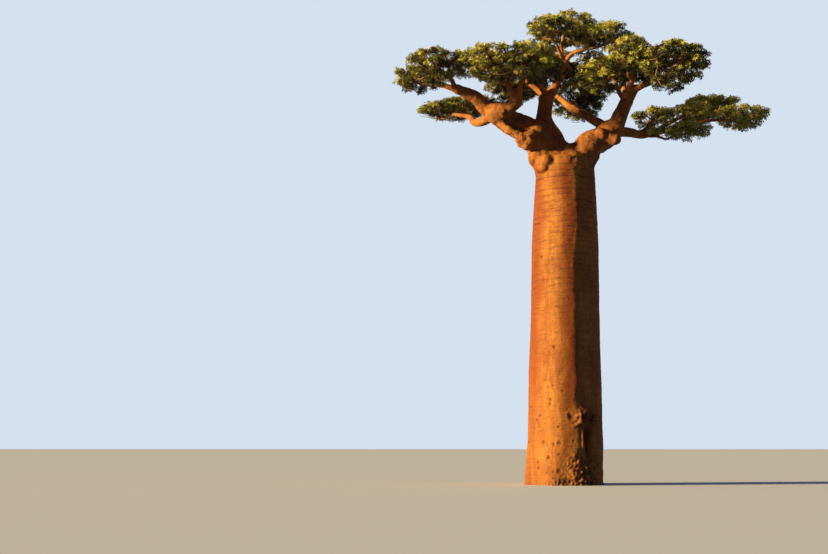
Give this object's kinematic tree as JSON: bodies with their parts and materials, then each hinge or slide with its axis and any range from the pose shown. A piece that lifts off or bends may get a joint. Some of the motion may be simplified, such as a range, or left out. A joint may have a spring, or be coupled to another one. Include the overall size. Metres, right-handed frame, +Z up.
{
  "type": "baobab tree",
  "caption": "Tall flat-topped baobab: a thick columnar trunk that forks into gnarled boughs under a spreading umbrella crown of leafy pads.",
  "frame": {"origin": "centre of the flat cut under the trunk, at ground level", "axes": "+Z up the trunk; -Y towards the viewer of the front; +X to the viewer's right"},
  "size_m": [18.0643, 12.8773, 22.1254],
  "materials": {
    "trunk_bark": "smooth reddish-brown bark with fine level creases and pocks",
    "bough_bark": "smooth to knobbly reddish-brown bark",
    "leaves": "matt olive to yellow-green leaves"
  },
  "bodies": {
    "root": {"trunk": "trunk_bark", "bough_cross": "bough_bark", "bough_left": "bough_bark", "bough_left_inner": "bough_bark", "bough_left_low": "bough_bark", "bough_left_outer": "bough_bark", "bough_middle": "bough_bark", "bough_middle_upper": "bough_bark", "bough_right": "bough_bark", "bough_right_low": "bough_bark", "bough_right_upper": "bough_bark", "branch_cross_rear": "bough_bark", "branch_left_end": "bough_bark", "branch_left_front": "bough_bark", "branch_left_lift": "bough_bark", "branch_left_middle": "bough_bark", "branch_left_rear": "bough_bark", "branch_left_spur": "bough_bark", "branch_middle_front": "bough_bark", "branch_middle_left": "bough_bark", "branch_rear_right": "bough_bark", "branch_right_back": "bough_bark", "branch_right_brow": "bough_bark", "branch_right_crest": "bough_bark", "branch_right_end": "bough_bark", "branch_right_front": "bough_bark", "branch_right_rear": "bough_bark", "branch_right_shelf": "bough_bark", "branch_right_small": "bough_bark", "branch_right_under": "bough_bark", "branch_top_centre": "bough_bark", "branch_top_left": "bough_bark", "branch_top_rear": "bough_bark", "branch_top_right": "bough_bark", "foliage_cross": "leaves", "foliage_cross_rear": "leaves", "foliage_left_end": "leaves", "foliage_left_front": "leaves", "foliage_left_lift": "leaves", "foliage_left_low": "leaves", "foliage_left_middle": "leaves", "foliage_left_rear": "leaves", "foliage_left_spur": "leaves", "foliage_middle_front": "leaves", "foliage_middle_left": "leaves", "foliage_rear_right": "leaves", "foliage_right_back": "leaves", "foliage_right_brow": "leaves", "foliage_right_crest": "leaves", "foliage_right_end": "leaves", "foliage_right_front": "leaves", "foliage_right_rear": "leaves", "foliage_right_shelf": "leaves", "foliage_right_small": "leaves", "foliage_right_under": "leaves", "foliage_top_centre": "leaves", "foliage_top_left": "leaves", "foliage_top_rear": "leaves", "foliage_top_right": "leaves"}
  },
  "joints": []
}
